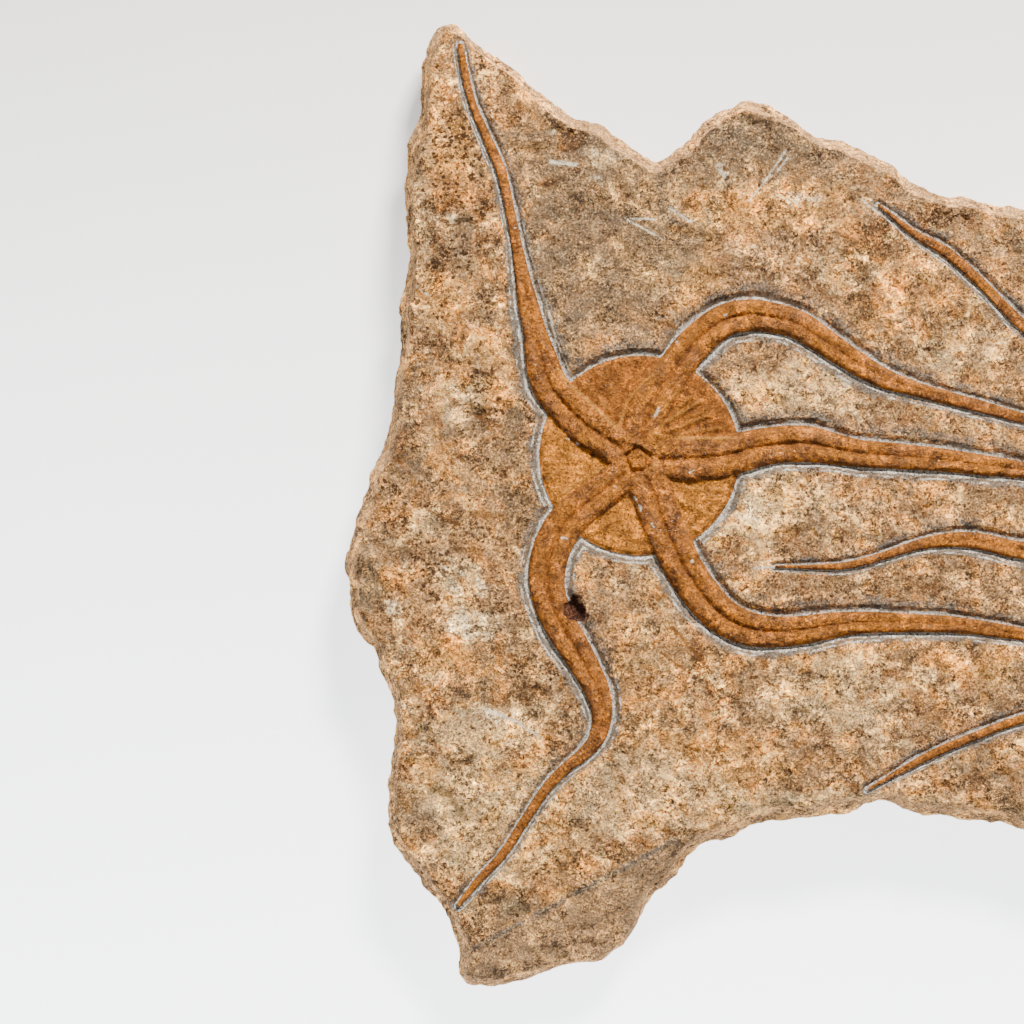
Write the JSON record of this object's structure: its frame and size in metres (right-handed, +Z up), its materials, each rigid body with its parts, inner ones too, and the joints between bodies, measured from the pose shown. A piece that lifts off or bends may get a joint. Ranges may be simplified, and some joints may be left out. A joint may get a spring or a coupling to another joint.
{
  "type": "brittle star fossil slab",
  "caption": "Rough slab of rock with fossil brittle stars lying in the trenches cut round them; it lies flat on its underside.",
  "frame": {"origin": "middle of the slab's bounding box, on its flat underside", "axes": "+X along the slab, +Y towards the edge with the two peaks, +Z up out of the face that shows the fossils"},
  "size_m": [0.421, 0.289, 0.0254],
  "materials": {
    "matrix_rock": "rough, broken, gritty sandstone",
    "fossil_stone": "dull iron-stained fossil, brushed clean",
    "second_fossil_stone": "dull iron-stained fossil, brushed clean"
  },
  "bodies": {
    "root": {"matrix_slab": "matrix_rock", "brittle_star": "fossil_stone", "second_brittle_star": "second_fossil_stone"}
  },
  "joints": []
}
